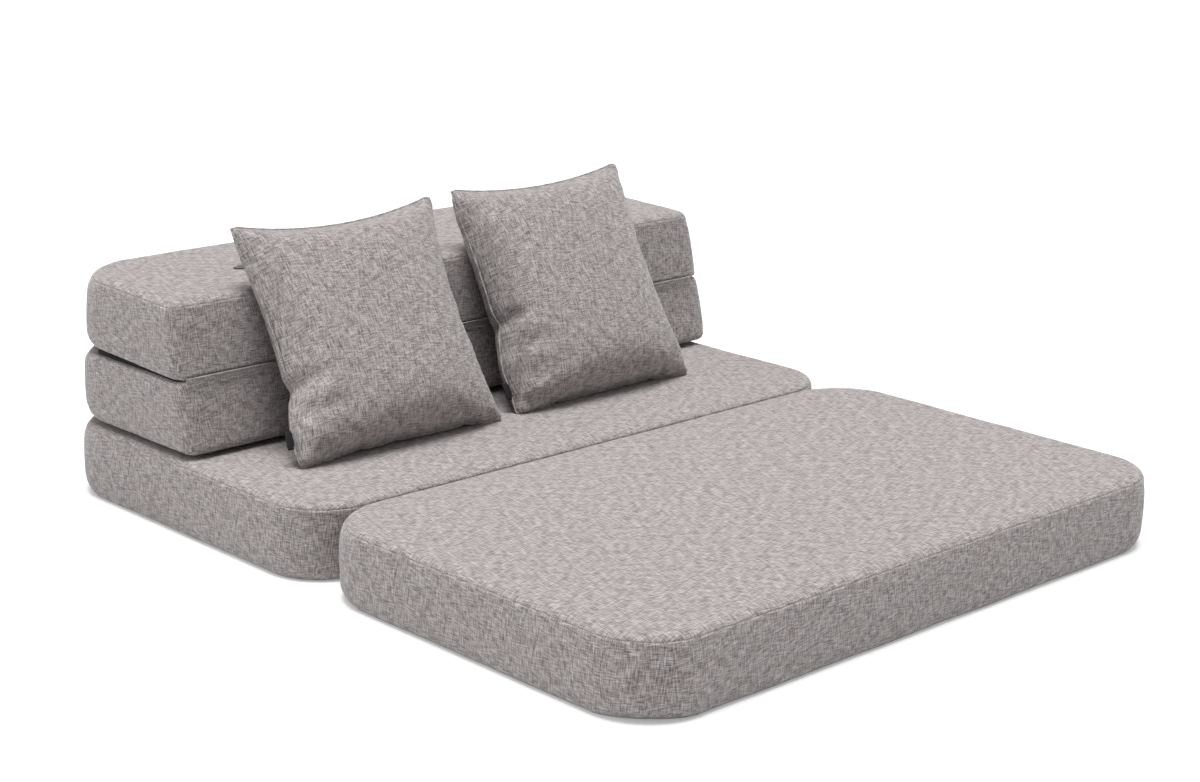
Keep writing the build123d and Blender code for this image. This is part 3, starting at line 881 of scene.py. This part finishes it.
def shape_cushion(points, flat, side):
    """The filled case at the cushion's real size, leaned on the back, as places in the shared frame.

    u runs across the cushion, v up it and w out of its front, from the middle of its seam plane."""
    half, cells = cushion_size / 2, cushion_cells
    corners = [0, cells, (cells + 1) * cells, (cells + 1) ** 2 - 1]
    at_front, at_back = flat[:, 2] == 0, flat[:, 2] < 0
    from_left, from_low = (flat[:, 0] + 1) * half, (flat[:, 1] + 1) * half
    from_right, from_high = cushion_size - from_left, cushion_size - from_low
    u, v, w = (points * half / np.abs(points[corners, :2]).mean()).T

    # Let each side out to its bow, and give both faces their crown
    middle = cells // 2
    reach = {"left": -u[middle * (cells + 1)], "right": u[middle * (cells + 1) + cells],
             "low": -v[middle], "high": v[cells * (cells + 1) + middle]}
    let_out = {name: (half - side_bow[side][name]) / reach[name] - 1 for name in reach}
    u_share = np.where(u < 0, let_out["left"], let_out["right"]) * (1 - (v / half) ** 2)
    v_share = np.where(v < 0, let_out["low"], let_out["high"]) * (1 - (u / half) ** 2)
    u, v = u * (1 + u_share), v * (1 + v_share)
    w = np.where(w > 0, w * front_crown / w.max(), w * back_crown / -w.min())

    # Draw the seams in smooth curves, with two or three small dents on the right
    bow = {name: half - side_bow[side][name] * (1 - (along / half) ** 2)
           for name, along in (("left", v), ("right", v), ("low", u), ("high", u))}
    u, w = calm_edge(flat, u, w, 0, -1, -bow["left"], 0.95)
    dents = sum(bump_at(0, v, (0, place), (1, 0.011)) for place in right_dents[side])
    u, w = calm_edge(flat, u, w, 0, 1, bow["right"] - 0.003 * dents, 0.8)
    v, w = calm_edge(flat, v, w, 1, -1, -bow["low"], 0.5)
    v, w = calm_edge(flat, v, w, 1, 1, bow["high"], 0.9)
    near_left = np.exp(-(from_left / 0.035) ** 2)
    u = u + 0.85 * near_left * (from_left - bow["left"] - u)
    v = v + 0.85 * np.exp(-(from_high / 0.028) ** 2) * (bow["high"] - from_high - v)
    other_sides = rise(from_right, 0.025) * rise(from_low, 0.025) * rise(from_high, 0.025)
    w = w + 0.6 * near_left * at_front * (0.06 * rise(from_left, 0.022) * other_sides - w)
    front_grid = w[:(cells + 1) ** 2].reshape(cells + 1, cells + 1)
    inwards = np.arange(cells, -1, -1) * cushion_size / cells
    near_rim = np.exp(-(inwards / 0.022) ** 2)
    front_grid += near_rim[:, None] * (running_mean(front_grid, 1) - front_grid)
    front_grid += near_rim[None, :] * (running_mean(front_grid, 0) - front_grid)

    # Keep some thickness in the corners, slacken the right side, and let the filling sink
    from_tip = np.hypot(half - np.abs(flat[:, 0] * half), half - np.abs(flat[:, 1] * half))
    inner = (np.abs(flat[:, 0]) < 1) & (np.abs(flat[:, 1]) < 1)
    w = w + np.where(at_back, -1, 1) * inner * 0.005 * np.exp(-(from_tip / 0.016) ** 2)
    slack = right_slack * np.exp(-(from_right / 0.075) ** 2) * np.clip(1 - (v / half) ** 2, 0, 1)
    w = w * (1 - slack * at_front)
    w = w * (0.84 + 0.34 * np.clip(0.5 - v / cushion_size, 0, 1) ** 0.8)

    # Kink the left seam, and round the back towards it
    kink_v = kink_height[side]
    pull = kink_depth[side] * bump_at(0, v, (0, kink_v), (1, 0.014))
    pull = pull - 0.008 * bump_at(0, v, (0, kink_v - 0.07), (1, 0.035))
    u = u + np.clip(-flat[:, 0], 0, 1) ** 6 * pull
    round_back = -0.036 * rise(from_left, 0.009) * other_sides
    near_rim = at_back * np.exp(-(np.minimum(from_left, from_high) / 0.04) ** 2)
    w = w + near_rim * (round_back - w)

    # Folds of the front panel, each with its height, its place and its half widths. The first is a valley
    # that runs on a slant from the kink
    front = w > 0
    left = 0.03 - half
    slanted = u - 0.8 * (v - kink_v)
    w = w - front * kink_depth[side] * 0.6 * bump_at(slanted, v, (left, kink_v + 0.002), (0.028, 0.008))
    for height, place, size in (
        (0.006, (left, kink_v - 0.022), (0.026, 0.013)),
        (-0.005, (left + 0.015, kink_v - 0.048), (0.032, 0.008)),
        (0.003, (left + 0.005, kink_v - 0.07), (0.03, 0.012)),
        (-0.005, (left, half - 0.045), (0.013, 0.016)),
        (-0.004, (half - 0.045, 0.03 - half), (0.018, 0.01)),
        (corner_fold[side], (left, 0.034 - half), (0.017, 0.009)),
        (-0.8 * corner_fold[side], (0.027 - half, 0.018 - half), (0.015, 0.007)),
    ):
        w = w + front * height * bump_at(u, v, place, size)

    # Blunt the corners, move each to its place, and stand the cushion on the seat, slumped and leaning back
    to_side, to_end = np.minimum(from_left, from_right), np.minimum(from_low, from_high)
    pull_u, pull_v = (np.minimum(0.293 * tip_radius, tip_radius - np.sqrt(
        np.clip(tip_radius ** 2 - np.clip(tip_radius - distance, 0, tip_radius) ** 2, 0, None)))
        for distance in (to_end, to_side))
    u = u - np.sign(flat[:, 0]) * pull_u * np.exp(-to_side / 0.012)
    v = v - np.sign(flat[:, 1]) * pull_v * np.exp(-to_end / 0.012)
    shifts = np.array(corner_shift[side]) + corner_growth * np.array([(-1, -1), (1, -1), (-1, 1), (1, 1)])
    s, t = (u / half + 1) / 2, (v / half + 1) / 2
    moved = np.stack([(1 - s) * (1 - t), s * (1 - t), (1 - s) * t, s * t], axis=-1) @ shifts
    u, v = u + moved[:, 0], v + moved[:, 1]
    u = u + (v + half) * tan(cushion_slump[side])
    lean = cushion_lean[side]
    y = lower_back_front_y - ahead_of_back[side] + (half + v) * sin(lean) - w * cos(lean)
    z = section_height + cushion_above_seat + (half + v) * cos(lean) + w * sin(lean)
    return np.stack([cushion_middle_x[side] + u, y, z], axis=-1)


def tube(rows, sides, along, across, closed=False):
    """Faces and map values of a tube of rows of points, with the size of a cell on the map in metres."""
    faces, maps = [], []
    for i in range(rows if closed else rows - 1):
        for k in range(sides):
            j, m = (i + 1) % rows, (k + 1) % sides
            faces.append((i * sides + k, j * sides + k, j * sides + m, i * sides + m))
            maps += [(along * (i + a), across * (k + b)) for a, b in ((0, 0), (1, 0), (1, 1), (0, 1))]
    return faces, maps


# Trim of the cushions: the narrow ridge of their seam allowance, a concealed zip behind each bottom seam, and
# a blank tag in each left seam. The tag is woven black satin ribbon, nearly matt, with a faint sheen.
ridge_radius = 0.0011
ridge_sides = 6
tag_length = 0.030
tag_from_corner = 0.038
tag_turn = 0.15
tag_bow = 0.0008
tag_profile = ((-0.003, 0.0006), (0.002, 0.0007), (0.007, 0.0009), (0.0098, 0.0009), (0.0110, 0.0004))
tag_satin = plain("black_satin_ribbon", "#121315", 0.7, Specular_IOR_Level=0.25)
tape_profile = ((0.0014, 0.0002), (0.0054, 0.0002), (0.0054, 0.001), (0.0014, 0.001))
teeth_inward, teeth_height = 0.0034, 0.0011
cushion_tooth = {"Pitch": tooth_pitch, "Length": 0.0024, "Thickness": 0.0007, "Across": (0, 1, 0.4)}


def sew_rim(name, places, loop):
    """A thin ridge of seam allowance along a cushion's rim."""
    rim = places[loop]
    centre = rim.mean(0)
    count = len(rim)
    points = []
    for i in range(count):
        along = rim[(i + 1) % count] - rim[i - 1]
        along /= np.linalg.norm(along)
        out = rim[i] - centre
        out -= along * out.dot(along)
        out /= np.linalg.norm(out)
        other = np.cross(along, out)
        for angle in 2 * pi * np.arange(ridge_sides) / ridge_sides:
            points.append(rim[i] + ridge_radius * (1.5 * cos(angle) * out + sin(angle) * other))
    return make_piece(name, points, *tube(count, ridge_sides, 0.007, 0.001, closed=True), cover_cloth)


def fold_tag(name, places, loop, side):
    """A blank black tag: a ribbon folded double and caught in the left seam, near the lower corner."""
    steps = 10
    rim = places[loop[:3 * cushion_cells - 1:-1]]
    run = np.concatenate([[0], np.cumsum(np.linalg.norm(np.diff(rim, axis=0), axis=1))])
    lean = cushion_lean[side]
    out = np.array([-cos(tag_turn), sin(tag_turn) * cos(lean), 0.0])
    flat_way = np.array([0.0, -cos(lean), sin(lean)])
    profile = [*tag_profile, *((u, -w) for u, w in tag_profile[::-1])]
    points = []
    for i in range(steps + 1):
        length = tag_from_corner + tag_length * (i / steps - 0.5)
        base = np.array([np.interp(length, run, rim[:, k]) for k in range(3)])
        bow = tag_bow * sin(pi * i / steps)
        points += [base + out * u + flat_way * (w + bow) for u, w in profile]
    count = len(profile)
    faces, maps = tube(steps + 1, count, 0.003, 0.002)
    faces += [tuple(range(count)), tuple(range(steps * count, (steps + 1) * count))[::-1]]
    maps += [(0, 0.001 * k) for k in range(2 * count)]
    return face_outwards(make_piece(name, points, faces, maps, tag_satin))


def lay_zip(name, places, body):
    """The concealed zip of a cushion: a narrow tape with teeth behind the bottom seam, out of sight."""
    first, last = round(cushion_cells * 0.19), round(cushion_cells * 0.81)
    back_row = (cushion_cells + 1) ** 2
    points, line = [], []
    for i in range(first, last + 1):
        rim, inner = places[i], places[back_row + i - 1]
        inward = (inner - rim) / np.linalg.norm(inner - rim)
        out = np.cross(inward, (1, 0, 0))
        out = out / np.linalg.norm(out) * (-1 if out[1] < 0 else 1)
        points += [rim + inward * reach + out * height for reach, height in tape_profile]
        line.append(rim + inward * teeth_inward + out * teeth_height)
    faces, maps = tube(last - first + 1, 4, 0.007, 0.002)
    end = (last - first) * 4
    faces += [(0, 1, 2, 3), (end + 3, end + 2, end + 1, end)]
    maps += [(0, 0)] * 8
    rods_along(f"{name}_teeth", line, body, cushion_tooth, zip_material)
    return face_outwards(make_piece(name, points, faces, maps, zip_material))


# Polyester fibre: loose, white and dull, out of sight inside the cushions
fibre = plain("polyester_fibre", "#efeeea", 0.95)
flat_case, case_faces, case_rim = pillowcase(cushion_cells)
seat_top = section_height + top_crown + cushion_above_seat
for number, side in enumerate(("left", "right")):
    body = f"{side}_cushion"
    filled = blow_up(flat_case, case_faces, 3 + number)
    places = shape_cushion(filled, flat_case, side)
    places[:, 2] = np.maximum(places[:, 2], seat_top)
    maps = [tuple(cushion_size / 2 * flat_case[v][:2] + number) for face in case_faces for v in face]
    cover = make_piece(f"{body}_cover", places, case_faces, maps, cover_cloth)
    core = places + (places.mean(0) - places) * 0.06
    filling = make_piece(f"{body}_fibre_filling", core, case_faces, maps, fibre)
    rim = sew_rim(f"{body}_seam_ridge", places, case_rim)
    tag = fold_tag(f"{body}_tag_loop", places, case_rim, side)
    zip_tape = lay_zip(f"{body}_zip_tape", places, body)
    for piece, material_slot in ((cover, "cover_fabric"), (filling, "fibre_filling"), (rim, "cover_fabric"),
                                 (tag, "black_tag"), (zip_tape, "zip")):
        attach(piece, body)
    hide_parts(f"{body}_front_cover", f"{body}_back_cover")
    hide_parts(f"{body}_filling")
    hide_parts(f"{body}_tag")
    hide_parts(f"{body}_zip")
    # Along the middle of each left seam, a nearly continuous row of the darker thread: a painted shadow line
    turned = range(round(0.4 * cushion_cells), round(0.68 * cushion_cells))
    on_rim = [j * (cushion_cells + 1) for j in turned]
    front_out = Vector((0, -cos(cushion_lean[side]), sin(cushion_lean[side])))
    line = [Vector(places[i + 1] * 0.25 + places[i] * 0.75) + 0.0009 * front_out for i in on_rim]
    sew(f"{body}_left_side", line, body, colour=painted_shade_thread, length=0.0036, thickness=0.0008)

# Studio: a matt pale grey floor, whitened for the eye, under a white sky. The light is soft, from straight
# above and a little from the left behind and the right ahead, and the floor keeps the sofa's faint shadow.
floor_size = 14
floor_colour = "#e4e4e4"
floor_whitening = 0.3
sky_strength = 0.2


def seen_by_eye(tree):
    """1 where the eye sees a surface, also in a gloss or through a clear part; 0 where it lights others."""
    path = node(tree, "ShaderNodeLightPath").outputs
    seen = path["Is Camera Ray"]
    for name in ("Is Glossy Ray", "Is Transmission Ray"):
        seen = node(tree, "ShaderNodeMath", {"operation": "MAXIMUM"}, {0: seen, 1: path[name]}).outputs[0]
    return seen


floor_mesh = bpy.data.meshes.new("floor")
floor_mesh.from_pydata([(x * floor_size, y * floor_size, 0) for x, y in ((-1, -1), (1, -1), (1, 1), (-1, 1))],
                       [], [(0, 1, 2, 3)])
floor = bpy.data.objects.new("floor", floor_mesh)
bpy.context.collection.objects.link(floor)
floor_paint = plain("studio_floor", floor_colour, 0.9, Emission_Color=(1, 1, 1, 1))
tree = floor_paint.node_tree
whitening = node(tree, "ShaderNodeMath", {"operation": "MULTIPLY"},
                 {0: seen_by_eye(tree), 1: floor_whitening})
tree.links.new(whitening.outputs[0], tree.nodes["Principled BSDF"].inputs["Emission Strength"])
floor_mesh.materials.append(floor_paint)

world = bpy.data.worlds.new("studio")
bpy.context.scene.world = world
world.use_nodes = True
backdrop = world.node_tree
brightness = node(backdrop, "ShaderNodeMath", {"operation": "MULTIPLY_ADD"},
                  {0: seen_by_eye(backdrop), 1: 1 - sky_strength, 2: sky_strength})
backdrop.links.new(brightness.outputs[0], backdrop.nodes["Background"].inputs["Strength"])
backdrop.nodes["Background"].inputs["Color"].default_value = linear("#ffffff")

for name, towards, power, angle in (
    ("ceiling_softbox", (0, 0, 1), 3.4, 35),
    ("left_softbox", (-0.85, 0.5, 0.4), 0.65, 45),
    ("right_softbox", (0.85, -0.5, 0.4), 0.25, 45),
):
    lamp_data = bpy.data.lights.new(name, "SUN")
    lamp_data.energy = power
    lamp_data.angle = radians(angle)
    lamp = bpy.data.objects.new(name, lamp_data)
    bpy.context.collection.objects.link(lamp)
    lamp.matrix_world = Vector(towards).to_track_quat("Z", "Y").to_matrix().to_4x4()
bpy.context.scene.view_settings.view_transform = "Standard"
